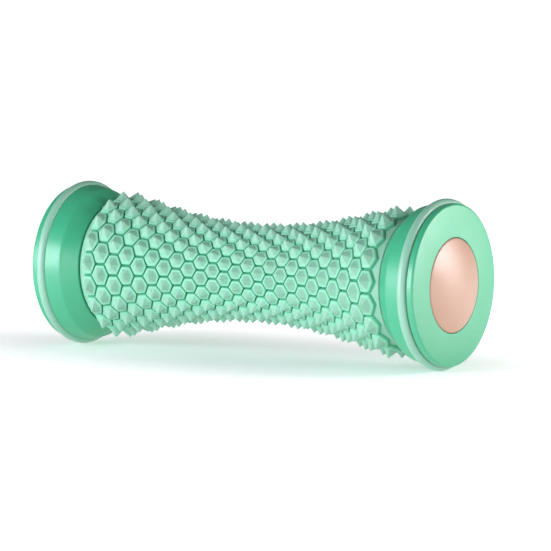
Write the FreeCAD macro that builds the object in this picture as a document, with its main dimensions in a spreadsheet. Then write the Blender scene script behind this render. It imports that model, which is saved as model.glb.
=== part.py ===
import FreeCAD, Part
import math
import os
import re
import Sketcher

# Foot massage roller. The roller lies along X with its centre at the origin and +Z up.
# Two wheels, each a flange, a rubber tyre, a cover and a centre cap, are clamped on a steel
# axle, and a studded hourglass barrel turns between them on two bushes.
# Every profile is drawn with X along the axle and Y as the radius, and revolved about X.

DIMENSIONS = [
    ("tyre_crest_r", 33.0, "radius at the crest of the tyre's tread"),
    ("tyre_side_r", 31.6, "radius at both sides of the tyre's rounded tread"),
    ("tyre_seat_r", 29.6, "seat of the tyre on the flange"),
    ("tyre_inner_x", 82.2, "inner side of the tyre"),
    ("tyre_outer_x", 85.7, "outer side of the tyre"),
    ("face_x", 88.7, "flat outer face of the cover"),
    ("cover_rim_r", 31.3, "outer radius of the cover's rim"),
    ("cover_rim_round", 1.0, "rounding at the rim's outer edge"),
    ("cover_shadow_r", 30.5, "bottom of the shadow groove beside the tyre"),
    ("cover_shadow_width", 0.4, "width of the shadow groove"),
    ("cover_spigot_r", 27.2, "spigot of the cover in the flange"),
    ("cover_spigot_play", 0.1, "gap round the spigot"),
    ("cover_spigot_wall", 2.0, "wall of the spigot"),
    ("cover_spigot_depth", 4.0, "how far the spigot enters the flange"),
    ("well_r", 18.4, "radius of the cap's well"),
    ("well_wall", 2.0, "wall of the well"),
    ("well_chamfer", 0.2, "chamfer round the mouth of the well"),
    ("well_floor_x", 82.2, "outer side of the well's floor"),
    ("snap_groove_r", 19.1, "bottom of the cap's snap groove"),
    ("snap_groove_x", 82.9, "inner side of the snap groove"),
    ("snap_groove_width", 1.4, "width of the snap groove"),
    ("snap_play", 0.2, "gap round the cap's snap lip"),
    ("snap_lead_in", 0.4, "length of the slope that leads the snap lip in"),
    ("cap_r", 18.25, "outer radius of the centre cap"),
    ("cap_apex_x", 92.0, "top of the cap's dome"),
    ("cap_dome_r", 52.0, "radius of the dome's curve"),
    ("cap_edge_round", 0.8, "rounding at the dome's edge"),
    ("cap_wall", 1.6, "wall of the cap"),
    ("cap_slot", 4.0, "width of the slots between the snap legs"),
    ("flange_edge_r", 24.9, "flange edge beside the barrel"),
    ("flange_edge_x", 70.4, "inner face of the flange"),
    ("flange_crease_r", 29.9, "crease between the flange's two cones"),
    ("flange_crease_x", 76.0, "crease between the flange's two cones"),
    ("flange_wall", 2.2, "wall of the flange"),
    ("hub_r", 8.0, "hub of the flange"),
    ("hub_end_x", 80.0, "outer end of the hub and of the axle"),
    ("rib_thickness", 1.8, "ribs inside the flange and the end plugs"),
    ("rib_end_x", 78.6, "outer end of the flange's ribs"),
    ("rib_count", 6, "ribs in each flange and each end plug"),
    ("axle_r", 4.0, "axle"),
    ("axle_chamfer", 0.5, "chamfer at the axle's ends"),
    ("tapped_hole_r", 2.0, "M4 hole in each end of the axle"),
    ("tapped_hole_depth", 15.0, "full depth of the M4 hole"),
    ("drill_point", 1.2, "cone at the bottom of the M4 hole"),
    ("screw_r", 1.95, "shank of the M4 screw"),
    ("screw_length", 14.0, "length of the M4 screw under its head"),
    ("screw_head_r", 4.0, "pan head of the screw"),
    ("screw_head_height", 2.6, "pan head of the screw"),
    ("screw_head_round", 1.4, "rounding of the pan head"),
    ("recess_width", 1.2, "cross recess of the screw"),
    ("recess_length", 4.6, "cross recess of the screw"),
    ("recess_depth", 1.5, "cross recess of the screw"),
    ("screw_hole_r", 2.2, "clearance hole for the screw"),
    ("washer_r", 6.0, "washer under the screw's head"),
    ("washer_thickness", 0.8, "washer under the screw's head"),
    ("thrust_r", 9.0, "thrust washer between bush and flange"),
    ("thrust_thickness", 0.6, "thrust washer between bush and flange"),
    ("thrust_bore_r", 4.06, "bore of the thrust washer"),
    ("bush_bore_r", 4.06, "running bore on the axle"),
    ("bush_r", 6.0, "outside of the bush"),
    ("bush_flange_r", 8.0, "flange of the bush"),
    ("bush_flange_thickness", 0.8, "flange of the bush"),
    ("bush_inner_x", 57.5, "inner end of the bush and of the plug's hub"),
    ("plug_outer_x", 68.7, "outer face of the end plug"),
    ("plug_inner_x", 61.0, "inner end of the end plug's rim"),
    ("plug_r", 21.0, "end plug in the barrel core"),
    ("plug_wall", 2.2, "walls of the end plug"),
    ("plug_hub_r", 9.0, "hub of the end plug"),
    ("barrel_end_x", 69.8, "end of the barrel"),
    ("waist_r", 16.1, "barrel between the studs at the waist"),
    ("waist_arc_r", 210.0, "radius of the waist's curve"),
    ("waist_arc_x", 45.0, "end of the waist's curve"),
    ("collar_x", 65.7, "widest point of the barrel, where its smooth collar starts"),
    ("collar_end_r", 24.5, "end of the collar"),
    ("sleeve_wall", 2.0, "sleeve under its grooves"),
    ("core_wall", 2.4, "wall of the barrel core"),
    ("core_end_r", 22.7, "plain end of the barrel core"),
    ("joint_r", 12.9, "spigot joint of the two core halves"),
    ("joint_length", 4.0, "spigot joint of the two core halves"),
    ("joint_play", 0.1, "gap round the spigot joint"),
    ("stud_pitch", 5.42, "distance between two rings of studs"),
    ("stud_side_rings", 12, "rings of studs each side of the middle ring"),
    ("studs_per_ring", 18, "studs in one ring"),
    ("stud_phase", 4.5, "angle of the first stud below the -Y direction"),
    ("stud_shoulder_scale", 0.92, "shoulder of a stud over its hexagon"),
    ("stud_shoulder_height", 1.6, "shoulder above the groove"),
    ("stud_ledge_scale", 0.7, "foot of a stud's pyramid over its hexagon"),
    ("stud_ledge_height", 1.8, "foot of the pyramid above the groove"),
    ("stud_waist_height", 4.2, "point above the groove at the waist"),
    ("stud_end_height", 4.7, "point above the groove at the barrel's ends"),
]

# Sizes that follow from the ones above: the tyre's tread, the cap's dome, which runs smoothly
# into its rounded edge, and the barrel's curve, set in by the sleeve's wall for the outside
# of the core and by the core's wall for its bore.
DERIVED = [
    ("tyre_tread_height", "tyre_crest_r - tyre_side_r"),
    ("tyre_half_width", "(tyre_outer_x - tyre_inner_x) / 2"),
    ("tyre_tread_arc_r", "(tyre_half_width ^ 2 / tyre_tread_height + tyre_tread_height) / 2"),
    ("cap_dome_x", "cap_apex_x - cap_dome_r"),
    ("cap_dome_share", "(cap_r - cap_edge_round) / (cap_dome_r - cap_edge_round)"),
    ("cap_edge_r", "cap_dome_r * cap_dome_share"),
    ("cap_edge_x", "cap_dome_x + cap_dome_r * sqrt(1 - cap_dome_share ^ 2)"),
    ("cap_side_x", "cap_dome_x + (cap_dome_r - cap_edge_round) * sqrt(1 - cap_dome_share ^ 2)"),
    ("cap_inner_x", "cap_dome_x + sqrt((cap_dome_r - cap_wall) ^ 2 - (cap_r - cap_wall) ^ 2)"),
    ("waist_slope", "waist_arc_x / sqrt(waist_arc_r ^ 2 - waist_arc_x ^ 2)"),
    ("waist_cosine", "sqrt(1 - (waist_arc_x / waist_arc_r) ^ 2)"),
    ("groove_cone_r", "waist_r + waist_arc_r * (1 - waist_cosine)"),
    ("collar_r", "groove_cone_r + (collar_x - waist_arc_x) * waist_slope"),
    ("collar_slope", "(collar_end_r - collar_r) / (barrel_end_x - collar_x)"),
    ("core_arc_r", "waist_arc_r + sleeve_wall"),
    ("core_cone_x", "core_arc_r * waist_arc_x / waist_arc_r"),
    ("core_cone_r", "waist_r + waist_arc_r - core_arc_r * waist_cosine"),
    ("core_collar_x", "core_cone_x + (core_end_r - core_cone_r) / waist_slope"),
    ("bore_arc_r", "core_arc_r + core_wall"),
    ("bore_cone_x", "bore_arc_r * waist_arc_x / waist_arc_r"),
    ("bore_cone_r", "waist_r + waist_arc_r - bore_arc_r * waist_cosine"),
    ("bore_step_r", "bore_cone_r + (plug_inner_x - bore_cone_x) * waist_slope"),
    ("joint_bore_r", "waist_r + waist_arc_r - sqrt(bore_arc_r ^ 2 - joint_length ^ 2)"),
]

AXLE_LINE = FreeCAD.Vector(1, 0, 0)
ORIGIN = FreeCAD.Vector(0, 0, 0)
RIGHT = FreeCAD.Placement()
LEFT = FreeCAD.Placement(ORIGIN, FreeCAD.Rotation(FreeCAD.Vector(0, 0, 1), 180))
SIDES = [("right", RIGHT), ("left", LEFT)]

doc = FreeCAD.newDocument("foot_massage_roller")
sheet = doc.addObject("Spreadsheet::Sheet", "Dims")
for line, (alias, number, meaning) in enumerate(DIMENSIONS, start=1):
    sheet.set("A%d" % line, meaning)
    sheet.set("B%d" % line, str(number))
    sheet.setAlias("B%d" % line, alias)
for line, (alias, formula) in enumerate(DERIVED, start=len(DIMENSIONS) + 1):
    sheet.set("A%d" % line, "worked out")
    sheet.set("B%d" % line, "=" + formula)
    sheet.setAlias("B%d" % line, alias)
doc.recompute()

subparts = []


def value(expression):
    """The number that a sum of sheet names and plain numbers stands for."""
    total = 0.0
    for sign, term in re.findall(r"([+-]?)\s*([\w.]+)", expression):
        number = float(term) if term[0].isdigit() else float(sheet.get(term))
        total += -number if sign == "-" else number
    return total


def bound(expression):
    """The same sum as an expression that reads the sheet."""
    return re.sub(r"[a-z]\w*", lambda name: "Dims." + name.group(), expression)


def constrain(sketch, kind, geometry, point, expression):
    """Ties one coordinate of a sketch point to the sheet."""
    if expression == "0":
        axis = {"DistanceX": -2, "DistanceY": -1}[kind]
        sketch.addConstraint(Sketcher.Constraint("PointOnObject", geometry, point, axis))
        return
    index = sketch.addConstraint(
        Sketcher.Constraint(kind, -1, 1, geometry, point, value(expression)))
    sketch.setExpression("Constraints[%d]" % index, bound(expression))


def arc_between(start, end, radius, bulge):
    """An arc from start to end that bulges to the left (1) or right (-1) of its chord."""
    chord = end - start
    middle = (start + end) * 0.5
    left = FreeCAD.Vector(-chord.y, chord.x, 0).normalize()
    centre = middle - left * bulge * math.sqrt(radius ** 2 - (chord.Length / 2) ** 2)
    first, last = (end, start) if bulge > 0 else (start, end)
    angles = [math.atan2(p.y - centre.y, p.x - centre.x) for p in (first, last)]
    circle = Part.Circle(centre, FreeCAD.Vector(0, 0, 1), radius)
    return Part.ArcOfCircle(circle, angles[0], angles[1])


def outline(body, name, corners, arcs=None, centred=()):
    """A closed sketch through corners, with the sides listed in arcs as arcs.

    arcs maps the number of a side to its radius and the direction of its bulge. A side
    that is also in centred has its centre held on the axle line, in place of its radius.
    """
    arcs = arcs or {}
    sketch = body.newObject("Sketcher::SketchObject", name)
    base = [item for item in body.Origin.OriginFeatures if item.Role == "XY_Plane"][0]
    sketch.AttachmentSupport = [(base, "")]
    sketch.MapMode = "FlatFace"
    points = [FreeCAD.Vector(value(x), value(y), 0) for x, y in corners]
    ends = []
    for side, start in enumerate(points):
        end = points[(side + 1) % len(points)]
        if side in arcs:
            radius, bulge = arcs[side]
            sketch.addGeometry(arc_between(start, end, value(radius), bulge), False)
            ends.append((2, 1) if bulge > 0 else (1, 2))
            if side in centred:
                sketch.addConstraint(Sketcher.Constraint("PointOnObject", side, 3, -1))
                continue
            index = sketch.addConstraint(Sketcher.Constraint("Radius", side, value(radius)))
            sketch.setExpression("Constraints[%d]" % index, bound(radius))
        else:
            sketch.addGeometry(Part.LineSegment(start, end), False)
            ends.append((1, 2))
    for side, (x, y) in enumerate(corners):
        following = (side + 1) % len(points)
        sketch.addConstraint(Sketcher.Constraint(
            "Coincident", side, ends[side][1], following, ends[following][0]))
        constrain(sketch, "DistanceX", side, ends[side][0], x)
        constrain(sketch, "DistanceY", side, ends[side][0], y)
    return sketch


def new_body(label, placement):
    body = doc.addObject("PartDesign::Body", label)
    body.Label = label
    body.Placement = placement
    subparts.append(body)
    return body


def revolved(body, corners, arcs=None, centred=()):
    """Revolves a closed outline about the axle line."""
    sketch = outline(body, body.Name + "_profile", corners, arcs, centred)
    solid = body.newObject("PartDesign::Revolution", body.Name + "_turned")
    solid.Profile = sketch
    solid.ReferenceAxis = (sketch, ["H_Axis"])
    solid.Angle = 360
    sketch.Visibility = False
    return solid


def polar(body, feature, count):
    """Repeats a feature round the axle line."""
    pattern = body.newObject("PartDesign::PolarPattern", feature.Name + "_ring")
    pattern.Originals = [feature]
    pattern.Axis = (feature.Profile[0], ["H_Axis"])
    pattern.Angle = 360
    pattern.setExpression("Occurrences", count)
    body.Tip = pattern
    doc.recompute()


def ribs(body, corners):
    """Radial ribs that join a hub to the wall round it."""
    doc.recompute()
    before = body.Shape.Volume
    sketch = outline(body, body.Name + "_rib_profile", corners)
    rib = body.newObject("PartDesign::Pad", body.Name + "_rib")
    rib.Profile = sketch
    rib.Midplane = True
    rib.setExpression("Length", "Dims.rib_thickness")
    doc.recompute()
    polar(body, rib, "Dims.rib_count")
    assert body.Shape.Volume > before, body.Label + " has no ribs"


def cut_slots(body, corners, width, count):
    """Cuts slots through both sides of a turned piece, count of them round the axle."""
    doc.recompute()
    before = body.Shape.Volume
    sketch = outline(body, body.Name + "_slot_profile", corners)
    slot = body.newObject("PartDesign::Pocket", body.Name + "_slot")
    slot.Profile = sketch
    slot.Midplane = True
    slot.setExpression("Length", width)
    doc.recompute()
    polar(body, slot, count)
    assert body.Shape.Volume < before, body.Label + " has no slots"


def make_axle():
    """A steel rod with an M4 hole in each end."""
    body = new_body("axle", RIGHT)
    revolved(body, [
        ("0-hub_end_x+tapped_hole_depth+drill_point", "0"),
        ("0-hub_end_x+tapped_hole_depth", "tapped_hole_r"),
        ("0-hub_end_x", "tapped_hole_r"),
        ("0-hub_end_x", "axle_r-axle_chamfer"),
        ("0-hub_end_x+axle_chamfer", "axle_r"),
        ("hub_end_x-axle_chamfer", "axle_r"),
        ("hub_end_x", "axle_r-axle_chamfer"),
        ("hub_end_x", "tapped_hole_r"),
        ("hub_end_x-tapped_hole_depth", "tapped_hole_r"),
        ("hub_end_x-tapped_hole_depth-drill_point", "0"),
    ])


def make_flange(side, placement):
    """The wheel's inner shell: a cup with a hub, two cones outside and ribs inside."""
    body = new_body(side + "_inner_flange", placement)
    revolved(body, [
        ("flange_edge_x", "axle_r"),
        ("flange_edge_x", "flange_edge_r"),
        ("flange_crease_x", "flange_crease_r"),
        ("tyre_inner_x", "tyre_side_r"),
        ("tyre_inner_x", "tyre_seat_r"),
        ("tyre_outer_x", "tyre_seat_r"),
        ("tyre_outer_x", "cover_spigot_r+cover_spigot_play"),
        ("flange_crease_x", "cover_spigot_r+cover_spigot_play"),
        ("flange_edge_x+flange_wall", "flange_edge_r-flange_wall"),
        ("flange_edge_x+flange_wall", "hub_r"),
        ("hub_end_x", "hub_r"),
        ("hub_end_x", "axle_r"),
    ])
    ribs(body, [
        ("flange_edge_x+rib_thickness", "hub_r-rib_thickness"),
        ("rib_end_x", "hub_r-rib_thickness"),
        ("rib_end_x", "cover_spigot_r+rib_thickness"),
        ("flange_crease_x", "cover_spigot_r+rib_thickness"),
        ("flange_edge_x+rib_thickness", "flange_edge_r-rib_thickness"),
    ])


def make_tyre(side, placement):
    """A soft ring with a rounded tread, seated between the flange and the cover."""
    body = new_body(side + "_tyre_ring", placement)
    revolved(body, [
        ("tyre_inner_x", "tyre_seat_r"),
        ("tyre_outer_x", "tyre_seat_r"),
        ("tyre_outer_x", "tyre_side_r"),
        ("tyre_inner_x", "tyre_side_r"),
    ], {2: ("tyre_tread_arc_r", -1)})


def make_cover(side, placement):
    """The wheel's outer shell: a flat face with a well for the screw and the centre cap."""
    body = new_body(side + "_outer_cover", placement)
    revolved(body, [
        ("hub_end_x", "screw_hole_r"),
        ("well_floor_x", "screw_hole_r"),
        ("well_floor_x", "well_r"),
        ("snap_groove_x", "well_r"),
        ("snap_groove_x", "snap_groove_r"),
        ("snap_groove_x+snap_groove_width", "snap_groove_r"),
        ("snap_groove_x+snap_groove_width", "well_r"),
        ("face_x-well_chamfer", "well_r"),
        ("face_x", "well_r+well_chamfer"),
        ("face_x", "cover_rim_r-cover_rim_round"),
        ("face_x-cover_rim_round", "cover_rim_r"),
        ("tyre_outer_x+cover_shadow_width", "cover_rim_r"),
        ("tyre_outer_x+cover_shadow_width", "cover_shadow_r"),
        ("tyre_outer_x", "cover_shadow_r"),
        ("tyre_outer_x", "cover_spigot_r"),
        ("tyre_outer_x-cover_spigot_depth", "cover_spigot_r"),
        ("tyre_outer_x-cover_spigot_depth", "cover_spigot_r-cover_spigot_wall"),
        ("tyre_outer_x+cover_shadow_width", "cover_spigot_r-cover_spigot_wall"),
        ("tyre_outer_x+cover_shadow_width", "well_r+well_wall"),
        ("hub_end_x", "well_r+well_wall"),
    ], {9: ("cover_rim_round", -1)})


def make_cap(side, placement):
    """A domed cap with four snap legs."""
    body = new_body(side + "_centre_cap", placement)
    revolved(body, [
        ("cap_apex_x-cap_wall", "0"),
        ("cap_apex_x", "0"),
        ("cap_edge_x", "cap_edge_r"),
        ("cap_side_x", "cap_r"),
        ("snap_groove_x+snap_groove_width", "cap_r"),
        ("snap_groove_x+snap_groove_width-snap_play", "snap_groove_r-snap_play"),
        ("snap_groove_x+snap_play+snap_lead_in", "snap_groove_r-snap_play"),
        ("snap_groove_x+snap_play", "cap_r"),
        ("well_floor_x+snap_play", "cap_r-snap_play"),
        ("well_floor_x+snap_play", "cap_r-cap_wall"),
        ("cap_inner_x", "cap_r-cap_wall"),
    ], {1: ("cap_dome_r", -1), 2: ("cap_edge_round", -1), 10: ("cap_dome_r-cap_wall", 1)},
        centred=[1, 10])
    cut_slots(body, [
        ("well_floor_x", "cap_r-cap_wall-cap_wall"),
        ("snap_groove_x+snap_groove_width+snap_play", "cap_r-cap_wall-cap_wall"),
        ("snap_groove_x+snap_groove_width+snap_play", "snap_groove_r"),
        ("well_floor_x", "snap_groove_r"),
    ], "Dims.cap_slot", "4")


def make_screw(side, placement):
    """An M4 pan-head screw with a cross recess."""
    body = new_body(side + "_axle_screw", placement)
    under_head = "well_floor_x+washer_thickness"
    revolved(body, [
        (under_head + "-screw_length", "0"),
        (under_head + "-screw_length", "screw_r"),
        (under_head, "screw_r"),
        (under_head, "screw_head_r"),
        (under_head + "+screw_head_height-screw_head_round", "screw_head_r"),
        (under_head + "+screw_head_height", "screw_head_r-screw_head_round"),
        (under_head + "+screw_head_height", "0"),
    ], {4: ("screw_head_round", 1)})
    cut_slots(body, [
        (under_head + "+screw_head_height-recess_depth", "0"),
        (under_head + "+screw_head_height", "0"),
        (under_head + "+screw_head_height", "recess_width+recess_width"),
        (under_head + "+screw_head_height-recess_depth", "recess_width"),
    ], "Dims.recess_width", "4")


def make_ring(label, placement, inner_x, outer_x, bore_r, outer_r):
    """A plain flat ring, such as a washer."""
    body = new_body(label, placement)
    revolved(body, [(inner_x, bore_r), (outer_x, bore_r), (outer_x, outer_r), (inner_x, outer_r)])


def make_bush(side, placement):
    """A flanged plain bearing, pressed into the end plug and running on the axle."""
    body = new_body(side + "_bush", placement)
    revolved(body, [
        ("bush_inner_x", "bush_bore_r"),
        ("plug_outer_x+bush_flange_thickness", "bush_bore_r"),
        ("plug_outer_x+bush_flange_thickness", "bush_flange_r"),
        ("plug_outer_x", "bush_flange_r"),
        ("plug_outer_x", "bush_r"),
        ("bush_inner_x", "bush_r"),
    ])


def make_plug(side, placement):
    """The bulkhead that closes the barrel core and carries the bush."""
    body = new_body(side + "_end_plug", placement)
    revolved(body, [
        ("bush_inner_x", "bush_r"),
        ("plug_outer_x", "bush_r"),
        ("plug_outer_x", "plug_r"),
        ("plug_inner_x", "plug_r"),
        ("plug_inner_x", "plug_r-plug_wall"),
        ("plug_outer_x-plug_wall", "plug_r-plug_wall"),
        ("plug_outer_x-plug_wall", "plug_hub_r"),
        ("bush_inner_x", "plug_hub_r"),
    ])
    ribs(body, [
        ("plug_inner_x", "plug_hub_r-rib_thickness"),
        ("plug_outer_x-rib_thickness", "plug_hub_r-rib_thickness"),
        ("plug_outer_x-rib_thickness", "plug_r-rib_thickness"),
        ("plug_inner_x", "plug_r-rib_thickness"),
    ])


def make_core_half(side, placement, joint_start, joint_radius):
    """Half of the hourglass tube, from the waist to the barrel's end."""
    body = new_body(side + "_core_half", placement)
    revolved(body, [
        ("0", joint_radius),
        ("0", "waist_r-sleeve_wall"),
        ("core_cone_x", "core_cone_r"),
        ("core_collar_x", "core_end_r"),
        ("barrel_end_x", "core_end_r"),
        ("barrel_end_x", "plug_r"),
        ("plug_inner_x", "plug_r"),
        ("plug_inner_x", "bore_step_r"),
        ("bore_cone_x", "bore_cone_r"),
        (joint_start, "joint_bore_r"),
        (joint_start, joint_radius),
    ], {1: ("core_arc_r", -1), 8: ("bore_arc_r", 1)})


def groove_radius(x):
    """Radius of the barrel between its studs."""
    x = abs(x)
    if x <= value("waist_arc_x"):
        arc_r = value("waist_arc_r")
        return value("waist_r") + arc_r - math.sqrt(arc_r ** 2 - x ** 2)
    if x <= value("collar_x"):
        return value("groove_cone_r") + (x - value("waist_arc_x")) * value("waist_slope")
    return value("collar_r") + (x - value("collar_x")) * value("collar_slope")


def on_barrel(x, angle, height=0.0):
    """A point at a height above the barrel's grooves, square to their curve."""
    step = 0.01
    slope = (groove_radius(x + step) - groove_radius(x - step)) / (2 * step)
    length = math.hypot(1, slope)
    radius = groove_radius(x) + height / length
    return FreeCAD.Vector(x - height * slope / length,
                          -radius * math.cos(angle), -radius * math.sin(angle))


def flat_face(points):
    return Part.Face(Part.makePolygon(list(points) + [points[0]]))


def stud_faces(x, angle, row_angle, height):
    """One stud: six bevels up to its shoulder, six ledges and a pyramid of six facets."""
    half_width = value("stud_pitch") / 1.5
    hexagon = [(1, 0), (0.5, 0.5), (-0.5, 0.5), (-1, 0), (-0.5, -0.5), (0.5, -0.5)]
    foot = on_barrel(x, angle)
    up = on_barrel(x, angle, 1) - foot
    rim = [on_barrel(x + across * half_width, angle + round_ * row_angle)
           for across, round_ in hexagon]
    shoulder = [foot + (corner - foot) * value("stud_shoulder_scale")
                + up * value("stud_shoulder_height") for corner in rim]
    ledge = [foot + (corner - foot) * value("stud_ledge_scale")
             + up * value("stud_ledge_height") for corner in rim]
    point = foot + up * height
    faces = []
    for side in range(6):
        following = (side + 1) % 6
        for low, high in ((rim, shoulder), (shoulder, ledge)):
            faces.append(flat_face([low[side], low[following], high[following], high[side]]))
        faces.append(flat_face([ledge[side], ledge[following], point]))
    return faces


def collar_faces(x, angle, row_angle, end_x):
    """The smooth collar beside one stud of an outermost ring."""
    half_width = math.copysign(value("stud_pitch") / 1.5, x)
    faces = []
    for turn in (-0.5, 0.5):
        edge = angle + turn * row_angle
        faces.append(flat_face([
            on_barrel(x + half_width, angle),
            on_barrel(x + half_width / 2, edge),
            on_barrel(end_x, edge),
            on_barrel(end_x, angle)]))
    return faces


def sleeve_bore():
    """The inside of the sleeve, which follows the outside of the core."""
    corners = [("barrel_end_x", "core_end_r"), ("core_collar_x", "core_end_r"),
               ("core_cone_x", "core_cone_r")]
    outer = [FreeCAD.Vector(value(x), value(r), 0) for x, r in corners]
    inner = [FreeCAD.Vector(-p.x, p.y, 0) for p in reversed(outer)]
    waist = FreeCAD.Vector(0, value("waist_r-sleeve_wall"), 0)
    edges = [Part.makeLine(outer[0], outer[1]), Part.makeLine(outer[1], outer[2]),
             Part.Arc(outer[2], waist, inner[0]).toShape(),
             Part.makeLine(inner[0], inner[1]), Part.makeLine(inner[1], inner[2])]
    return [edge.revolve(ORIGIN, AXLE_LINE, 360) for edge in edges]


def sleeve_end(end_x, row_angle, first_angle):
    """The flat ring at one end of the sleeve."""
    corner_count = 2 * int(value("studs_per_ring"))
    corners = [on_barrel(end_x, first_angle + corner * row_angle / 2)
               for corner in range(corner_count)]
    rim = Part.makePolygon(corners + [corners[0]])
    centre = FreeCAD.Vector(end_x, 0, 0)
    bore = Part.makeCircle(value("core_end_r"), centre, AXLE_LINE)
    return Part.Face([rim, Part.Wire([bore])], "Part::FaceMakerBullseye")


def make_sleeve():
    """The soft skin of the barrel: rings of six-sided studs with pointed tops."""
    count = int(value("studs_per_ring"))
    row_angle = 2 * math.pi / count
    last = int(value("stud_side_rings"))
    extra_height = value("stud_end_height-stud_waist_height")
    faces = sleeve_bore()
    for ring in range(-last, last + 1):
        x = ring * value("stud_pitch")
        height = value("stud_waist_height") + extra_height * (ring / last) ** 2
        start = math.radians(value("stud_phase")) + (0 if ring % 2 else row_angle / 2)
        for row in range(count):
            angle = start + row * row_angle
            faces += stud_faces(x, angle, row_angle, height)
            if abs(ring) == last:
                end_x = math.copysign(value("barrel_end_x"), x)
                faces += collar_faces(x, angle, row_angle, end_x)
        if abs(ring) == last:
            faces.append(sleeve_end(math.copysign(value("barrel_end_x"), x), row_angle, start))
    skin = Part.makeCompound(faces)
    skin.sewShape()
    solid = Part.makeSolid(skin.Shells[0])
    sleeve = doc.addObject("Part::Feature", "studded_sleeve")
    sleeve.Label = "studded_sleeve"
    sleeve.Shape = solid
    sleeve.Placement = RIGHT
    subparts.append(sleeve)


def check_and_write():
    """Stops on any failed feature or bad solid, then writes one file for each sub-part."""
    for item in doc.Objects:
        if "Invalid" in item.State or "Error" in item.State:
            raise RuntimeError("%s failed: %s" % (item.Label, item.State))
    for part in subparts:
        shape = part.Shape
        if shape.isNull() or not shape.isValid() or not shape.Solids or shape.Volume <= 0:
            raise RuntimeError(part.Label + " has no sound solid")
    os.makedirs("parts", exist_ok=True)
    for part in subparts:
        part.Shape.exportStep(os.path.join("parts", part.Label + ".step"))
        print("%-22s %10.1f mm3" % (part.Label, part.Shape.Volume))


for side, placement in SIDES:
    make_flange(side, placement)
    make_tyre(side, placement)
    make_cover(side, placement)
    make_cap(side, placement)
    make_screw(side, placement)
    make_ring(side + "_screw_washer", placement, "well_floor_x",
              "well_floor_x+washer_thickness", "screw_hole_r", "washer_r")
    make_ring(side + "_thrust_washer", placement, "flange_edge_x-thrust_thickness",
              "flange_edge_x", "thrust_bore_r", "thrust_r")
    make_bush(side, placement)
    make_plug(side, placement)
make_core_half("right", RIGHT, "joint_length", "joint_r+joint_play")
make_core_half("left", LEFT, "0-joint_length", "joint_r")
make_axle()
make_sleeve()
doc.recompute()
check_and_write()
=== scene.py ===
import math

import bmesh
import bpy
import numpy as np
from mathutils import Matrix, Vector


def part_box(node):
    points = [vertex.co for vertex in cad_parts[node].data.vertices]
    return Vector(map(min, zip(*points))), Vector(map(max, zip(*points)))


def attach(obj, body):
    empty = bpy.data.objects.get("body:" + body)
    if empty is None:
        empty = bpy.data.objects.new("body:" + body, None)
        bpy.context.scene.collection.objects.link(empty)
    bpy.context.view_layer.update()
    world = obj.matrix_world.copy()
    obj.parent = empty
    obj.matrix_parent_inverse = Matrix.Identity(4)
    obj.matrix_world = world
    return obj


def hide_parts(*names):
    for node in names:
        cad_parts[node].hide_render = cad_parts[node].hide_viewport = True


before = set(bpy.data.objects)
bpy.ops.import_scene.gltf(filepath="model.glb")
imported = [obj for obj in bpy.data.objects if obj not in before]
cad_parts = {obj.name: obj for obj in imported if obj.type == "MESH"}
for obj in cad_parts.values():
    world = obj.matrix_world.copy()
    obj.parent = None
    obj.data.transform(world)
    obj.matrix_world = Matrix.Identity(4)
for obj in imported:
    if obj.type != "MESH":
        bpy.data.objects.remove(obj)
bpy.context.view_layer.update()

# Foot massage roller: a studded soft barrel between two wheels, lying along X with its
# centre at the origin. The object's sizes are in millimetres. A profile is a list of
# (distance along the axle, radius, rounding of that corner), and is turned about X.

MM = 0.001

# ---------------------------------------------------------------- sizes, in millimetres
tyre_low, tyre_high = (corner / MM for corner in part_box("right_tyre_ring"))
cap_low, cap_high = (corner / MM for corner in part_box("right_centre_cap"))
flange_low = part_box("right_inner_flange")[0] / MM
cover_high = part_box("right_outer_cover")[1] / MM
sleeve_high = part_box("studded_sleeve")[1] / MM

# Tyre ring
TYRE_INNER_X, TYRE_OUTER_X = tyre_low.x, tyre_high.x
TYRE_CREST_R = tyre_high.y
TYRE_SIDE_R = 31.6
TYRE_SEAT_R = 29.6
TREAD_STEPS = 16

# Inner flange, with its hub and ribs
FLANGE_X = flange_low.x
FLANGE_EDGE_R = 24.9
FLANGE_EDGE_ROUND = 0.35
CREASE_X, CREASE_R = 76.0, 29.9
CREASE_ROUND = 2.5
CREASE_INSIDE_ROUND = 1.0
FLANGE_WALL = 2.2
HUB_X = 80.0
HUB_R = 8.0
AXLE_R = 4.0
RIB_THICKNESS = 1.8
RIB_END_X = 78.6
RIB_COUNT = 6

# Outer cover: its rim, the shadow gap beside the tyre, the spigot inside the flange and
# the well for the cap
FACE_X = cover_high.x
COVER_RIM_R = cover_high.y
COVER_RIM_ROUND = 1.0
SHADOW_R = 30.5
SHADOW_WIDTH = 0.4
SPIGOT_R = 27.2
SPIGOT_PLAY = 0.1
SPIGOT_WALL = 2.0
SPIGOT_DEPTH = 4.0
WELL_R = 18.4
WELL_WALL = 2.0
WELL_FLOOR_X = 82.2
SCREW_HOLE_R = 2.2
SNAP_GROOVE_X, SNAP_GROOVE_WIDTH, SNAP_GROOVE_R = 82.9, 1.4, 19.1

# Centre cap
CAP_APEX_X = cap_high.x
CAP_BACK_X = cap_low.x
CAP_DOME_R = 52.0
CAP_EDGE_ROUND = 0.8
CAP_R = 18.25
CAP_WALL = 1.6
CAP_SLOT = 4.0
CAP_SLOT_COUNT = 4
SNAP_PLAY = 0.2
SNAP_LEAD_IN = 0.4
DOME_STEPS, CAP_EDGE_STEPS, UNDERSIDE_STEPS = 24, 8, 12

# Sleeve: an arc at the waist, a cone on each side of it and a collar at each end
BARREL_END_X = sleeve_high.x
WAIST_R = 16.1
WAIST_ARC_R = 210.0
WAIST_ARC_X = 45.0
COLLAR_X = 65.7
COLLAR_END_R = 24.5
SLEEVE_WALL = 2.0
CORE_END_R = 22.7
BORE_STEPS = 40

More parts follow.
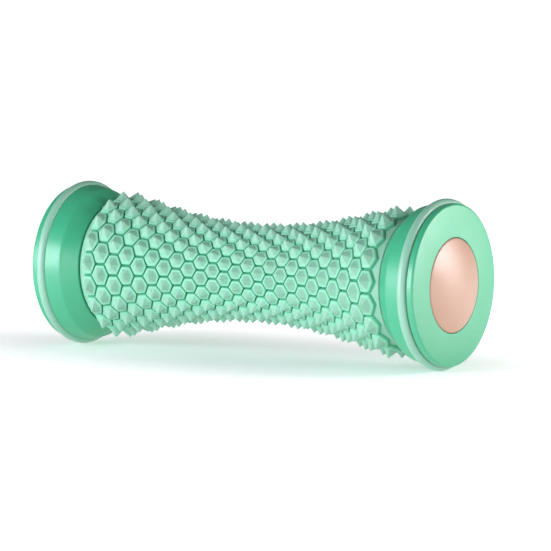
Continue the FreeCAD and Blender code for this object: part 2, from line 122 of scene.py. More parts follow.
# Studs: interlocking rings of hexagons, each with two corners along the axle
STUD_PITCH = 5.42
STUD_HALF_WIDTH = STUD_PITCH / 1.5
SIDE_RINGS = 12
STUDS_PER_RING = 18
ROW_ANGLE = 2 * math.pi / STUDS_PER_RING
STUD_PHASE = math.radians(4.5)
SHOULDER_HEIGHT = 1.6
STUD_WAIST_HEIGHT = 4.2
STUD_END_HEIGHT = 4.7

# Fineness of the meshes, and how far a cut goes past the piece that it is made in
TURN_STEPS = 192
DEGREES_PER_STEP = 9
FEWEST_ROUNDING_STEPS = 3
SHARP_ANGLE = math.radians(35)
CUT_MARGIN = 1.0


# ---------------------------------------------------------------- meshes
def rounded(corners):
    """A profile with each corner replaced by an arc of its own rounding radius."""
    points = []
    for index, (x, r, rounding) in enumerate(corners):
        corner = Vector((x, r))
        if not rounding:
            points.append(corner)
            continue
        before = Vector(corners[index - 1][:2]) - corner
        after = Vector(corners[(index + 1) % len(corners)][:2]) - corner
        before.normalize()
        after.normalize()
        half = before.angle(after) / 2
        reach = rounding / math.tan(half)
        centre = corner + (before + after).normalized() * rounding / math.sin(half)
        start = corner + before * reach - centre
        end = corner + after * reach - centre
        swing = math.atan2(start.cross(end), start.dot(end))
        steps = max(FEWEST_ROUNDING_STEPS, round(abs(math.degrees(swing)) / DEGREES_PER_STEP))
        for step in range(steps + 1):
            angle = swing * step / steps
            points.append(centre + Vector((
                start.x * math.cos(angle) - start.y * math.sin(angle),
                start.x * math.sin(angle) + start.y * math.cos(angle))))
    return points


def smooth(mesh):
    """Smooth shading, with the sharp edges kept."""
    mesh.shade_smooth()
    mesh.set_sharp_from_angle(angle=SHARP_ANGLE)


def mesh_object(name, vertices, faces):
    """A smooth-shaded object from vertices in millimetres, with its normals outwards."""
    mesh = bpy.data.meshes.new(name)
    mesh.from_pydata([Vector(v) * MM for v in vertices], [], faces)
    shape = bmesh.new()
    shape.from_mesh(mesh)
    bmesh.ops.recalc_face_normals(shape, faces=shape.faces)
    shape.to_mesh(mesh)
    shape.free()
    smooth(mesh)
    piece = bpy.data.objects.new(name, mesh)
    bpy.context.scene.collection.objects.link(piece)
    return piece


def turned(name, corners, side, pole_xs=()):
    """A solid with the given profile, turned about X. side mirrors it to +X or -X.

    The profile is a closed loop. With pole_xs it is open instead, and its two ends meet
    the axle line at those distances along it.
    """
    profile = rounded(corners)
    count = len(profile)
    vertices, faces = [], []
    for turn in range(TURN_STEPS):
        angle = 2 * math.pi * turn / TURN_STEPS
        following = (turn + 1) % TURN_STEPS
        for point in profile:
            vertices.append((side * point.x, point.y * math.cos(angle), point.y * math.sin(angle)))
        for index in range(count - 1 if pole_xs else count):
            ahead = (index + 1) % count
            faces.append((turn * count + index, turn * count + ahead,
                          following * count + ahead, following * count + index))
    for x, index in zip(pole_xs, (0, count - 1)):
        vertices.append((side * x, 0, 0))
        for turn in range(TURN_STEPS):
            following = (turn + 1) % TURN_STEPS
            faces.append((turn * count + index, following * count + index, len(vertices) - 1))
    return mesh_object(name, vertices, faces)


def plates(corners, thickness, count, side):
    """Flat plates with the given outline in a plane through the axle, count of them round it."""
    vertices, faces = [], []
    size = len(corners)
    for number in range(count):
        turn = 2 * math.pi * number / count
        first = len(vertices)
        for half in (-thickness / 2, thickness / 2):
            for x, r in corners:
                vertices.append((side * x, r * math.cos(turn) - half * math.sin(turn),
                                 r * math.sin(turn) + half * math.cos(turn)))
        faces.append([first + corner for corner in range(size)])
        faces.append([first + size + corner for corner in range(size)])
        for corner in range(size):
            ahead = (corner + 1) % size
            faces.append((first + corner, first + ahead, first + size + ahead,
                          first + size + corner))
    return mesh_object("plates", vertices, faces)


def combine(piece, tool, operation):
    """Adds the tool's shape to the piece, or cuts it out, and removes the tool."""
    step = piece.modifiers.new("combine", "BOOLEAN")
    step.operation = operation
    step.solver = "EXACT"
    step.object = tool
    bpy.context.view_layer.update()
    result = piece.evaluated_get(bpy.context.evaluated_depsgraph_get())
    mesh = bpy.data.meshes.new_from_object(result)
    piece.modifiers.clear()
    piece.data = mesh
    bpy.data.objects.remove(tool)
    smooth(mesh)


def give_material(piece, material):
    piece.data.materials.clear()
    piece.data.materials.append(material)


def finish_piece(piece, body, nodes, material):
    """Gives a piece its body, the CAD nodes that it replaces and its material."""
    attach(piece, body)
    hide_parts(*nodes)
    give_material(piece, material)


# ---------------------------------------------------------------- shader nodes
# Sockets of a Mix node for colours. Its other kinds of value have the same socket names.
MIX_FACTOR, MIX_FIRST, MIX_SECOND, MIX_RESULT = 0, 6, 7, 2

# A noise seldom leaves this middle range.
NOISE_LOW, NOISE_HIGH = 0.3, 0.7


def add(tree, kind, settings=None, **inputs):
    """Adds a shader node, with its settings and the values or links of its inputs."""
    node = tree.nodes.new(kind)
    for key, setting in (settings or {}).items():
        setattr(node, key, setting)
    for key, given in inputs.items():
        socket = node.inputs[key.replace("_", " ")]
        if isinstance(given, bpy.types.NodeSocket):
            tree.links.new(given, socket)
        else:
            socket.default_value = given
    return node


def new_material(name):
    """A material, its node tree and its Principled shader."""
    material = bpy.data.materials.new(name)
    material.use_nodes = True
    tree = material.node_tree
    return material, tree, tree.nodes["Principled BSDF"]


def surface_noise(tree, scale, detail=3.0, roughness=0.5):
    """Noise that stays fixed to the object. scale is its number of waves in a metre."""
    place = add(tree, "ShaderNodeTexCoord")
    return add(tree, "ShaderNodeTexNoise", Vector=place.outputs["Object"], Scale=scale,
               Detail=detail, Roughness=roughness).outputs["Fac"]


def remap(tree, value, start, end, low, high, easing="SMOOTHSTEP"):
    """Maps a value that runs from start to end to one that runs from low to high."""
    return add(tree, "ShaderNodeMapRange", {"interpolation_type": easing}, Value=value,
               From_Min=start, From_Max=end, To_Min=low, To_Max=high).outputs["Result"]


def spread(tree, noise, low, high):
    """Stretches a noise's middle range to low..high."""
    return remap(tree, noise, NOISE_LOW, NOISE_HIGH, low, high, "LINEAR")


def mix(tree, factor, first, second):
    """A colour that runs from first to second with the factor."""
    node = add(tree, "ShaderNodeMix", {"data_type": "RGBA"})
    tree.links.new(factor, node.inputs[MIX_FACTOR])
    node.inputs[MIX_FIRST].default_value = (*first, 1)
    node.inputs[MIX_SECOND].default_value = (*second, 1)
    return node.outputs[MIX_RESULT]


def bump(tree, shader, height, strength, depth):
    """Raises the surface by a height, with the depth in metres."""
    node = add(tree, "ShaderNodeBump", Height=height, Strength=strength, Distance=depth)
    tree.links.new(node.outputs["Normal"], shader.inputs["Normal"])


# ---------------------------------------------------------------- materials
def moulded_plastic(name, colour, shade, gloss, grain_depth, specular):
    """Moulded plastic: slow colour drift, uneven gloss and a fine moulded grain."""
    material, tree, shader = new_material(name)
    drift = spread(tree, surface_noise(tree, scale=45.0), 0.0, 1.0)
    tree.links.new(mix(tree, drift, colour, shade), shader.inputs["Base Color"])
    uneven = spread(tree, surface_noise(tree, scale=160.0, detail=5.0), *gloss)
    tree.links.new(uneven, shader.inputs["Roughness"])
    grain = surface_noise(tree, scale=1800.0, detail=2.0)
    bump(tree, shader, grain, strength=0.25, depth=grain_depth)
    shader.inputs["Specular IOR Level"].default_value = specular
    return material


# The studs' colours are painted light: painted shade in the grooves and on the walls, a painted
# highlight on the shoulders and a painted greyer sheen on the points.
PAINTED_GROOVE_SHADE = (0.065, 0.42, 0.235)
PAINTED_WALL_SHADE = (0.12, 0.47, 0.29)
PAINTED_SHOULDER_HIGHLIGHT = (0.25, 0.60, 0.415)
PAINTED_POINT_SHEEN = (0.275, 0.525, 0.39)

# Painted light on the rubber, from a groove, at 0, over the shoulder, at 0.5, to a point, at 1:
# painted shade in the groove and on the walls, a painted highlight on the shoulder and a
# painted greyer sheen towards the point.
STUD_PAINTED_LIGHT = [
    (0.0, PAINTED_GROOVE_SHADE), (0.22, PAINTED_WALL_SHADE), (0.42, PAINTED_SHOULDER_HIGHLIGHT), (0.53, PAINTED_SHOULDER_HIGHLIGHT),
    (0.60, PAINTED_POINT_SHEEN), (1.0, PAINTED_POINT_SHEEN),
]


def stud_rubber():
    """Soft rubber with painted light: painted shade in the grooves, a painted highlight on the
    shoulders and a painted greyer sheen towards the points.

    The rise attribute is 0 in a groove, 1 on a stud's shoulder and 2 at its point, so half
    of it is a place among the painted shades.
    """
    material, tree, shader = new_material("stud_rubber_look")
    rise = add(tree, "ShaderNodeAttribute", {"attribute_name": "rise"}).outputs["Fac"]
    drift = spread(tree, surface_noise(tree, scale=70.0), -0.06, 0.06)
    place = add(tree, "ShaderNodeMath", {"operation": "MULTIPLY_ADD"})
    tree.links.new(rise, place.inputs[0])
    place.inputs[1].default_value = 0.5
    tree.links.new(drift, place.inputs[2])
    ramp = add(tree, "ShaderNodeValToRGB", Fac=place.outputs["Value"])
    band = ramp.color_ramp
    while len(band.elements) < len(STUD_PAINTED_LIGHT):
        band.elements.new(0.5)
    for element, (position, shade) in zip(band.elements, STUD_PAINTED_LIGHT):
        element.position = position
        element.color = (*shade, 1)
    tree.links.new(ramp.outputs["Color"], shader.inputs["Base Color"])
    uneven = spread(tree, surface_noise(tree, scale=300.0, detail=4.0), 0.55, 0.66)
    tree.links.new(uneven, shader.inputs["Roughness"])
    grain = surface_noise(tree, scale=2600.0, detail=3.0)
    bump(tree, shader, grain, strength=0.3, depth=0.00003)
    shader.inputs["Specular IOR Level"].default_value = 0.6
    shader.inputs["Subsurface Weight"].default_value = 0.25
    shader.inputs["Subsurface Radius"].default_value = (0.002, 0.004, 0.003)
    shader.inputs["Subsurface Scale"].default_value = 0.5
    return material


def brushed_metal(name, colour, shade, gloss):
    """Turned or plated steel, with fine rings round the axle."""
    material, tree, shader = new_material(name)
    place = add(tree, "ShaderNodeTexCoord")
    rings = add(tree, "ShaderNodeTexWave", {"bands_direction": "X"},
                Vector=place.outputs["Object"], Scale=900.0, Distortion=2.0, Detail=3.0)
    tree.links.new(mix(tree, surface_noise(tree, scale=220.0), colour, shade),
                   shader.inputs["Base Color"])
    worn = spread(tree, surface_noise(tree, scale=500.0, detail=4.0), *gloss)
    tree.links.new(worn, shader.inputs["Roughness"])
    bump(tree, shader, rings.outputs["Fac"], strength=0.2, depth=0.00001)
    shader.inputs["Metallic"].default_value = 1.0
    return material


mint_plastic = moulded_plastic(
    "mint_plastic_look", (0.042, 0.405, 0.206), (0.038, 0.385, 0.194),
    gloss=(0.29, 0.36), grain_depth=0.000004, specular=1.0)
tyre_rubber = moulded_plastic(
    "tyre_rubber_look", (0.26, 0.52, 0.385), (0.245, 0.50, 0.37),
    gloss=(0.36, 0.46), grain_depth=0.00003, specular=1.0)
peach_plastic = moulded_plastic(
    "peach_plastic_look", (0.50, 0.272, 0.188), (0.485, 0.262, 0.180),
    gloss=(0.34, 0.40), grain_depth=0.00001, specular=1.0)
core_plastic = moulded_plastic(
    "core_plastic_look", (0.60, 0.66, 0.63), (0.56, 0.62, 0.59),
    gloss=(0.40, 0.52), grain_depth=0.00003, specular=0.5)
bearing_plastic = moulded_plastic(
    "bearing_plastic_look", (0.80, 0.80, 0.76), (0.76, 0.76, 0.72),
    gloss=(0.30, 0.38), grain_depth=0.00001, specular=0.5)
ground_steel = brushed_metal(
    "ground_steel_look", (0.60, 0.61, 0.62), (0.52, 0.53, 0.54), gloss=(0.22, 0.37))
zinc_steel = brushed_metal(
    "zinc_steel_look", (0.66, 0.67, 0.66), (0.58, 0.59, 0.60), gloss=(0.30, 0.45))


# ---------------------------------------------------------------- the barrel's sleeve
def groove_radius(x):
    """Radius of the barrel between its studs."""
    x = abs(x)
    arc_end = math.sqrt(WAIST_ARC_R ** 2 - WAIST_ARC_X ** 2)
    if x <= WAIST_ARC_X:
        return WAIST_R + WAIST_ARC_R - math.sqrt(WAIST_ARC_R ** 2 - x ** 2)
    cone_x = min(x, COLLAR_X) - WAIST_ARC_X
    cone_r = WAIST_R + WAIST_ARC_R - arc_end + cone_x * WAIST_ARC_X / arc_end
    fall = max(0.0, x - COLLAR_X) / (BARREL_END_X - COLLAR_X)
    return cone_r + (COLLAR_END_R - cone_r) * fall


def bore_radius(x):
    """The sleeve's inside, one wall under its grooves and plain at its ends."""
    arc_r = WAIST_ARC_R + SLEEVE_WALL
    return min(CORE_END_R, WAIST_R + WAIST_ARC_R - math.sqrt(arc_r ** 2 - x ** 2))


def on_barrel(x, angle, height=0.0):
    """A point at a height above the barrel's grooves, square to their curve."""
    step = 0.01
    slope = (groove_radius(x + step) - groove_radius(x - step)) / (2 * step)
    length = math.hypot(1, slope)
    radius = groove_radius(x) + height / length
    return np.array((x - height * slope / length,
                     -radius * math.cos(angle), -radius * math.sin(angle)))


def ring_start(ring):
    """Angle of a ring's first stud. Every other ring is half a stud out of step."""
    return STUD_PHASE + (0 if ring % 2 else ROW_ANGLE / 2)


# A stud's outline, as shares of its half width along the axle and of its angle round it.
HEXAGON = [(1, 0), (0.5, 0.5), (-0.5, 0.5), (-1, 0), (-0.5, -0.5), (0.5, -0.5)]

# Sections of a stud from its groove inwards: how far out it is, as a share of its
# hexagon, how high it is, as a share of the shoulder's height, how far up from the
# shoulder to the point it is, and how round it is, from hexagon to ellipse.
STUD_SECTIONS = [
    (1.000, 0.00, 0.000, 0.0), (0.972, 0.00, 0.000, 0.0), (0.955, 0.06, 0.000, 0.0),
    (0.945, 0.35, 0.000, 0.0), (0.935, 0.80, 0.000, 0.0), (0.925, 0.94, 0.000, 0.0),
    (0.905, 1.00, 0.010, 0.0), (0.850, 1.00, 0.030, 0.0), (0.750, 1.00, 0.060, 0.0),
    (0.715, 1.00, 0.080, 0.0), (0.670, 1.00, 0.125, 0.0), (0.550, 1.00, 0.277, 0.0),
    (0.350, 1.00, 0.540, 0.1), (0.200, 1.00, 0.735, 0.2), (0.100, 1.00, 0.865, 0.5),
    (0.040, 1.00, 0.925, 0.8),
]
STUD_POINT = 0.94

# Steps along each edge of the hexagon, as shares of it, and how far each one is pulled in
# above the groove to round the corners.
EDGE_STEPS = ((0.0, 0.975), (0.09, 0.995), (0.5, 1.0), (0.91, 0.995))
CORNER_ROUNDING_STARTS = 0.95
ELLIPSE_SCALE = 0.93

# The collar starts a small step past the studs, and COLLAR_RISE gives its plain rubber the
# greyer colour of the painted sheen on the points. Its edge is a list of distances in from the
# barrel's end, with their radii.
COLLAR_STEP = 0.15
COLLAR_RISE = 1.25
COLLAR_EDGE = [
    (0.55, groove_radius(BARREL_END_X - 0.55)), (0.25, COLLAR_END_R + 0.03),
    (0.07, COLLAR_END_R - 0.12), (0.0, COLLAR_END_R - 0.35), (0.0, CORE_END_R + 0.1),
    (0.0, CORE_END_R),
]


class SleeveMesh:
    """Collects vertices, faces and the rise of each vertex, and shares equal points."""

    def __init__(self):
        self.vertices, self.faces, self.rise, self.known = [], [], [], {}

    def vertex(self, point, rise=0.0, shared=False):
        """The index of a new vertex, or of a shared one that is already at that point."""
        key = tuple(round(value, 4) for value in point)
        if shared and key in self.known:
            return self.known[key]
        self.vertices.append(tuple(point))
        self.rise.append(rise)
        if shared:
            self.known[key] = len(self.vertices) - 1
        return len(self.vertices) - 1

    def ring(self, x, radius, angles):
        """A loop of plain rubber round the axle, with a vertex at each angle."""
        return [self.vertex((x, -radius * math.cos(a), -radius * math.sin(a)), COLLAR_RISE)
                for a in angles]

    def band(self, outer, inner):
        """Faces between two loops of the same length."""
        for index in range(len(outer)):
            ahead = (index + 1) % len(outer)
            self.faces.append((outer[index], outer[ahead], inner[ahead], inner[index]))


def add_stud(sleeve, x, angle, height):
    """One stud: a rounded hexagonal block with a pointed top."""
    foot = on_barrel(x, angle)
    up = on_barrel(x, angle, 1.0) - foot
    corners = [on_barrel(x + across * STUD_HALF_WIDTH, angle + along * ROW_ANGLE) - foot
               for across, along in HEXAGON]
    first_axis = (corners[0] - corners[3]) / 2
    second_axis = (corners[1] - corners[4] - first_axis) / math.sqrt(3)
    slope_height = height - SHOULDER_HEIGHT
    loops = []
    for out, shoulder, slope, roundness in STUD_SECTIONS:
        lift = shoulder * SHOULDER_HEIGHT + slope * slope_height
        loop = []
        for index, corner in enumerate(corners):
            ahead = corners[(index + 1) % len(corners)]
            for share, pull in EDGE_STEPS:
                rim = corner + (ahead - corner) * share
                if out <= CORNER_ROUNDING_STARTS:
                    turn = math.pi / 3 * (index + share)
                    ellipse = first_axis * math.cos(turn) + second_axis * math.sin(turn)
                    rim = rim * pull * (1 - roundness) + ellipse * ELLIPSE_SCALE * roundness
                loop.append(sleeve.vertex(foot + rim * out + up * lift, shoulder + slope,
                                          out == 1.0))
        loops.append(loop)
    for outer, inner in zip(loops, loops[1:]):
        sleeve.band(outer, inner)
    lift = SHOULDER_HEIGHT + STUD_POINT * slope_height
    point = sleeve.vertex(foot + up * lift, 2.0)
    for index, start in enumerate(loops[-1]):
        sleeve.faces.append((start, loops[-1][(index + 1) % len(loops[-1])], point))


def add_collar(sleeve, side):
    """The smooth collar past the last ring of studs.

    Returns its loop at the bore, and the angles of the loop's vertices.
    """
    x = side * SIDE_RINGS * STUD_PITCH
    outline, angles = [], []
    for row in range(STUDS_PER_RING):
        tip_angle = ring_start(SIDE_RINGS) + row * ROW_ANGLE
        corner_angle = tip_angle - ROW_ANGLE / 2
        tip = on_barrel(x + side * STUD_HALF_WIDTH, tip_angle)
        before, after = (on_barrel(x + side * STUD_HALF_WIDTH / 2, angle)
                         for angle in (corner_angle, tip_angle + ROW_ANGLE / 2))
        for first, last, start in ((before, tip, corner_angle), (tip, after, tip_angle)):
            for share, _ in EDGE_STEPS:
                outline.append(first + (last - first) * share)
                angles.append(start + share * ROW_ANGLE / 2)
    studs_edge = [sleeve.vertex(point, shared=True) for point in outline]
    loop = [sleeve.vertex(on_barrel(side * (abs(point[0]) + COLLAR_STEP), angle), COLLAR_RISE)
            for point, angle in zip(outline, angles)]
    sleeve.band(studs_edge, loop)
    for inset, radius in COLLAR_EDGE:
        inner = sleeve.ring(side * (BARREL_END_X - inset), radius, angles)
        sleeve.band(loop, inner)
        loop = inner
    return loop, angles


def make_sleeve():
    """The soft skin of the barrel, with its studs, smooth collars and bore."""
    sleeve = SleeveMesh()
    for ring in range(-SIDE_RINGS, SIDE_RINGS + 1):
        share = (ring / SIDE_RINGS) ** 2
        height = STUD_WAIST_HEIGHT + (STUD_END_HEIGHT - STUD_WAIST_HEIGHT) * share
        for row in range(STUDS_PER_RING):
            add_stud(sleeve, ring * STUD_PITCH, ring_start(ring) + row * ROW_ANGLE, height)
    loop, angles = add_collar(sleeve, -1)
    right_end, _ = add_collar(sleeve, 1)
    for x in np.linspace(-BARREL_END_X, BARREL_END_X, BORE_STEPS + 1)[1:-1]:
        inner = sleeve.ring(x, bore_radius(x), angles)
        sleeve.band(loop, inner)
        loop = inner
    sleeve.band(loop, right_end)
    piece = mesh_object("soft_studded_sleeve", sleeve.vertices, sleeve.faces)
    rise = piece.data.attributes.new("rise", "FLOAT", "POINT")
    rise.data.foreach_set("value", np.array(sleeve.rise, np.float32))
    return piece


# ---------------------------------------------------------------- the wheels
def flange_profile():
    """From the axle up the two cones to the tyre's seat, and back inside to the hub."""
    wall_x, wall_r = FLANGE_X + FLANGE_WALL, FLANGE_EDGE_R - FLANGE_WALL
    socket_r = SPIGOT_R + SPIGOT_PLAY
    return [
        (FLANGE_X, AXLE_R, 0.2), (FLANGE_X, FLANGE_EDGE_R, FLANGE_EDGE_ROUND),
        (CREASE_X, CREASE_R, CREASE_ROUND), (TYRE_INNER_X, TYRE_SIDE_R, 0.25),
        (TYRE_INNER_X, TYRE_SEAT_R, 0.2), (TYRE_OUTER_X, TYRE_SEAT_R, 0.2),
        (TYRE_OUTER_X, socket_r, 0.2), (CREASE_X, socket_r, CREASE_INSIDE_ROUND),
        (wall_x, wall_r, 0.6), (wall_x, HUB_R, 0.5), (HUB_X, HUB_R, 0.3), (HUB_X, AXLE_R, 0.2),
    ]


def make_flange(name, side):
    """The wheel's inner shell, with ribs between its hub and its wall."""
    flange = turned(name, flange_profile(), side)
    inset = RIB_THICKNESS / 2
    ribs = plates([
        (FLANGE_X + FLANGE_WALL - inset, HUB_R - inset), (RIB_END_X, HUB_R - inset),
        (RIB_END_X, SPIGOT_R + inset), (CREASE_X, SPIGOT_R + inset),
        (FLANGE_X + FLANGE_WALL - inset, FLANGE_EDGE_R - FLANGE_WALL)],
        RIB_THICKNESS, RIB_COUNT, side)
    combine(flange, ribs, "UNION")
    return flange


def tyre_profile():
    """A flat seat under a tread that is one arc over the crest."""
    crest = TYRE_CREST_R - TYRE_SIDE_R
    width = TYRE_OUTER_X - TYRE_INNER_X
    middle = (TYRE_OUTER_X + TYRE_INNER_X) / 2
    arc_r = (crest ** 2 + width ** 2 / 4) / (2 * crest)
    reach = math.asin(width / 2 / arc_r)
    tread = []
    for step in range(TREAD_STEPS + 1):
        angle = reach * (1 - 2 * step / TREAD_STEPS)
        tread.append((middle + arc_r * math.sin(angle),
                      TYRE_CREST_R - arc_r + arc_r * math.cos(angle), 0))
    return [(TYRE_INNER_X, TYRE_SEAT_R, 0.2), (TYRE_OUTER_X, TYRE_SEAT_R, 0.2), *tread]


def cover_profile():
    """From the screw hole up the well to the face and rim, and back along the spigot."""
    plate_x = TYRE_OUTER_X + SHADOW_WIDTH
    snap_end_x = SNAP_GROOVE_X + SNAP_GROOVE_WIDTH
    spigot_x = TYRE_OUTER_X - SPIGOT_DEPTH
    return [
        (HUB_X, SCREW_HOLE_R, 0.15), (WELL_FLOOR_X, SCREW_HOLE_R, 0.15),
        (WELL_FLOOR_X, WELL_R, 0.1), (SNAP_GROOVE_X, WELL_R, 0.1),
        (SNAP_GROOVE_X, SNAP_GROOVE_R, 0.1), (snap_end_x, SNAP_GROOVE_R, 0.1),
        (snap_end_x, WELL_R, 0.1), (FACE_X, WELL_R, 0.2), (FACE_X, COVER_RIM_R, COVER_RIM_ROUND),
        (plate_x, COVER_RIM_R, 0.15), (plate_x, SHADOW_R, 0.1), (TYRE_OUTER_X, SHADOW_R, 0.1),
        (TYRE_OUTER_X, SPIGOT_R, 0.1), (spigot_x, SPIGOT_R, 0.3),
        (spigot_x, SPIGOT_R - SPIGOT_WALL, 0.3), (plate_x, SPIGOT_R - SPIGOT_WALL, 0.5),
        (plate_x, WELL_R + WELL_WALL, 0.5), (HUB_X, WELL_R + WELL_WALL, 0.3),
    ]


def dome_line(radius, end_r, steps):
    """The cap's dome or its underside, from just off the axle line out to end_r."""
    centre_x = CAP_APEX_X - CAP_DOME_R
    lean = math.asin(end_r / radius)
    angles = [lean * step / steps for step in range(1, steps + 1)]
    return [(centre_x + radius * math.cos(a), radius * math.sin(a), 0) for a in angles]


def cap_profile():
    """A dome that rolls over into a skirt with a snap lip, and the dome's underside."""
    small_r = CAP_R - CAP_EDGE_ROUND
    share = small_r / (CAP_DOME_R - CAP_EDGE_ROUND)
    side_x = (CAP_APEX_X - CAP_DOME_R
              + (CAP_DOME_R - CAP_EDGE_ROUND) * math.sqrt(1 - share ** 2))
    lean = math.asin(share)
    edge = []
    for step in range(1, CAP_EDGE_STEPS + 1):
        angle = lean + (math.pi / 2 - lean) * step / CAP_EDGE_STEPS
        edge.append((side_x + CAP_EDGE_ROUND * math.cos(angle),
                     small_r + CAP_EDGE_ROUND * math.sin(angle), 0))
    lip_x = SNAP_GROOVE_X + SNAP_GROOVE_WIDTH
    lip_r = SNAP_GROOVE_R - SNAP_PLAY
    skirt = [
        (lip_x, CAP_R, 0.05), (lip_x - SNAP_PLAY, lip_r, 0.1),
        (SNAP_GROOVE_X + SNAP_PLAY + SNAP_LEAD_IN, lip_r, 0.1),
        (SNAP_GROOVE_X + SNAP_PLAY, CAP_R, 0.05), (CAP_BACK_X, CAP_R - SNAP_PLAY, 0.1),
        (CAP_BACK_X, CAP_R - CAP_WALL, 0.1),
    ]
    top = dome_line(CAP_DOME_R, CAP_DOME_R * share, DOME_STEPS)
    under = dome_line(CAP_DOME_R - CAP_WALL, CAP_R - CAP_WALL, UNDERSIDE_STEPS)
    return [*top, *edge, *skirt, *reversed(under)]


def make_cap(name, side):
    """The domed cap, with slots through its skirt."""
    cap = turned(name, cap_profile(), side, (CAP_APEX_X, CAP_APEX_X - CAP_WALL))
    start_x = CAP_BACK_X - CUT_MARGIN
    end_x = SNAP_GROOVE_X + SNAP_GROOVE_WIDTH + SNAP_PLAY
    inside_r = CAP_R - 2 * CAP_WALL
    slots = plates([(start_x, inside_r), (end_x, inside_r), (end_x, SNAP_GROOVE_R),
                    (start_x, SNAP_GROOVE_R)], CAP_SLOT, CAP_SLOT_COUNT, side)
    combine(cap, slots, "DIFFERENCE")
    return cap


# ---------------------------------------------------------------- the pieces
for word, side in (("right", 1), ("left", -1)):
    flange = make_flange(word + "_flange_shell", side)
    finish_piece(flange, "wheels", [word + "_inner_flange"], mint_plastic)
    tyre = turned(word + "_soft_tyre", tyre_profile(), side)
    finish_piece(tyre, "wheels", [word + "_tyre_ring"], tyre_rubber)
    cover = turned(word + "_wheel_cover", cover_profile(), side)
    finish_piece(cover, "wheels", [word + "_outer_cover"], mint_plastic)
    cap = make_cap(word + "_domed_cap", side)
    finish_piece(cap, "wheels", [word + "_centre_cap"], peach_plastic)

sleeve = make_sleeve()
finish_piece(sleeve, "barrel", ["studded_sleeve"], stud_rubber())

# The hidden pieces keep their CAD shapes.
looks = {"core_half": core_plastic, "end_plug": core_plastic, "bush": bearing_plastic,
         "thrust_washer": bearing_plastic, "axle_screw": zinc_steel,
         "screw_washer": zinc_steel, "axle": ground_steel}
for node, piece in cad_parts.items():
    kind = node.removeprefix("right_").removeprefix("left_")
    if kind in looks:
        give_material(piece, looks[kind])


# ---------------------------------------------------------------- floor, light, camera
# Lengths from here on are in metres, and angles in degrees.
FLOOR_SIZE = 60
FLOOR_SHADES = ((0.93, 0.93, 0.93), (0.90, 0.90, 0.90))

# The floor glows, which lights the roller from below, and it glows less near the roller, a
# painted shadow under it, in ovals that are longer along X.
GLOW_OVAL = (1.0, 2.2, 1.0)
GLOW_START, GLOW_END = 0.03, 0.25
GLOW_NEAR, GLOW_FAR = 0.24, 0.88

# The studio is brightest low down, and on the side at BRIGHT_AZIMUTH.
STUDIO_LOW, STUDIO_HIGH = 0.75, 0.22
STUDIO_FADE_HEIGHT = 0.35
BRIGHT_AZIMUTH = 0.0
FACING_START, FACING_END = -0.8, 0.4
FAR_SIDE_SHARE = 0.5

COOL_LIGHT = (0.82, 0.91, 1.0)
WHITE_LIGHT = (1, 1, 1)

CAMERA_AZIMUTH, CAMERA_ELEVATION = 33.11, 5.70
CAMERA_DISTANCE = 1.4639
CAMERA_SIDEWAYS, CAMERA_UPWARDS = 0.00614, -0.00099
CAMERA_LENS, CAMERA_SENSOR = 242.8, 36


def direction(azimuth, elevation):
    """The way from the origin to a viewer at that azimuth and elevation."""
    a, e = math.radians(azimuth), math.radians(elevation)
    return Vector((math.sin(a) * math.cos(e), -math.cos(a) * math.cos(e), math.sin(e)))


def make_floor():
    """A pale, glowing floor under the tyres, far wider than the view, with a painted shadow where
    it glows less near them.
    """
    bpy.ops.mesh.primitive_plane_add(size=FLOOR_SIZE, location=(0, 0, -TYRE_CREST_R * MM))
    floor = bpy.context.object
    floor.name = "floor"
    material, tree, shader = new_material("floor_look")
    drift = spread(tree, surface_noise(tree, scale=3.0), 0.0, 1.0)
    tree.links.new(mix(tree, drift, *FLOOR_SHADES), shader.inputs["Base Color"])
    shader.inputs["Roughness"].default_value = 0.9
    place = add(tree, "ShaderNodeTexCoord")
    oval = add(tree, "ShaderNodeVectorMath", {"operation": "MULTIPLY"})
    tree.links.new(place.outputs["Object"], oval.inputs[0])
    oval.inputs[1].default_value = GLOW_OVAL
    distance = add(tree, "ShaderNodeVectorMath", {"operation": "LENGTH"})
    tree.links.new(oval.outputs["Vector"], distance.inputs[0])
    # Painted shadow: the floor's glow is dimmest in an oval under the roller.
    glow = remap(tree, distance.outputs["Value"], GLOW_START, GLOW_END, GLOW_NEAR, GLOW_FAR)
    shader.inputs["Emission Color"].default_value = (1, 1, 1, 1)
    tree.links.new(glow, shader.inputs["Emission Strength"])
    floor.data.materials.append(material)


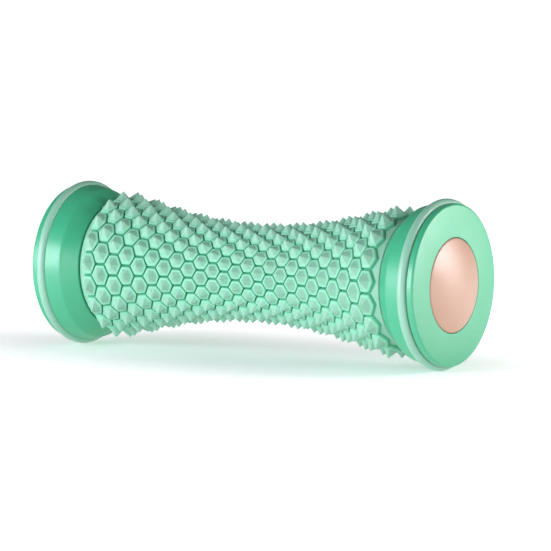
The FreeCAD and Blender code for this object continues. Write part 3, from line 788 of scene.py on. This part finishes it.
def make_world():
    """A pale studio, brightest low down and in front of the roller."""
    world = bpy.data.worlds.new("studio")
    world.use_nodes = True
    tree = world.node_tree
    background = tree.nodes["Background"]
    background.inputs["Color"].default_value = (1, 1, 1, 1)
    place = add(tree, "ShaderNodeTexCoord")
    height = add(tree, "ShaderNodeSeparateXYZ", Vector=place.outputs["Generated"])
    glow = remap(tree, height.outputs["Z"], 0.0, STUDIO_FADE_HEIGHT, STUDIO_LOW, STUDIO_HIGH)
    facing = add(tree, "ShaderNodeVectorMath", {"operation": "DOT_PRODUCT"})
    tree.links.new(place.outputs["Generated"], facing.inputs[0])
    facing.inputs[1].default_value = direction(BRIGHT_AZIMUTH, 0)
    share = remap(tree, facing.outputs["Value"], FACING_START, FACING_END, FAR_SIDE_SHARE, 1.0)
    strength = add(tree, "ShaderNodeMath", {"operation": "MULTIPLY"})
    tree.links.new(glow, strength.inputs[0])
    tree.links.new(share, strength.inputs[1])
    tree.links.new(strength.outputs["Value"], background.inputs["Strength"])
    bpy.context.scene.world = world


def softbox(name, azimuth, elevation, distance, size, power, tint, target_x=0.0):
    """A soft area light that looks at a point on the axle line from the given direction."""
    light = bpy.data.lights.new(name, "AREA")
    light.shape = "RECTANGLE"
    light.size, light.size_y = size
    light.energy = power
    light.color = tint
    lamp = bpy.data.objects.new(name, light)
    bpy.context.scene.collection.objects.link(lamp)
    back = direction(azimuth, elevation)
    lamp.location = back * distance + Vector((target_x, 0, 0))
    lamp.rotation_euler = back.to_track_quat("Z", "Y").to_euler()
    lamp.visible_camera = False


def make_camera():
    """A long lens in front of the roller and to its right, that looks slightly down."""
    back = direction(CAMERA_AZIMUTH, CAMERA_ELEVATION)
    turn = math.radians(CAMERA_AZIMUTH)
    right = Vector((math.cos(turn), math.sin(turn), 0))
    up = back.cross(right)
    data = bpy.data.cameras.new("camera")
    data.lens = CAMERA_LENS
    data.sensor_width = CAMERA_SENSOR
    data.clip_end = 100
    camera = bpy.data.objects.new("camera", data)
    bpy.context.scene.collection.objects.link(camera)
    camera.location = back * CAMERA_DISTANCE + right * CAMERA_SIDEWAYS + up * CAMERA_UPWARDS
    camera.rotation_euler = back.to_track_quat("Z", "Y").to_euler()
    bpy.context.scene.camera = camera


make_floor()
make_world()
softbox("left_wide", azimuth=-60, elevation=8, distance=1.2, size=(0.95, 0.36), power=2.6,
        tint=COOL_LIGHT)
softbox("key", azimuth=-15, elevation=12, distance=0.8, size=(0.70, 0.38), power=5.6,
        tint=COOL_LIGHT)
softbox("right", azimuth=45, elevation=9, distance=0.8, size=(0.22, 0.28), power=0.5,
        tint=COOL_LIGHT)
softbox("side", azimuth=137, elevation=10, distance=0.22, size=(0.10, 0.11), power=0.12,
        tint=WHITE_LIGHT, target_x=FACE_X * MM)
softbox("side_high", azimuth=120, elevation=18, distance=0.5, size=(0.22, 0.20), power=1.35,
        tint=WHITE_LIGHT, target_x=FACE_X * MM)
make_camera()
bpy.context.scene.view_settings.view_transform = "Standard"
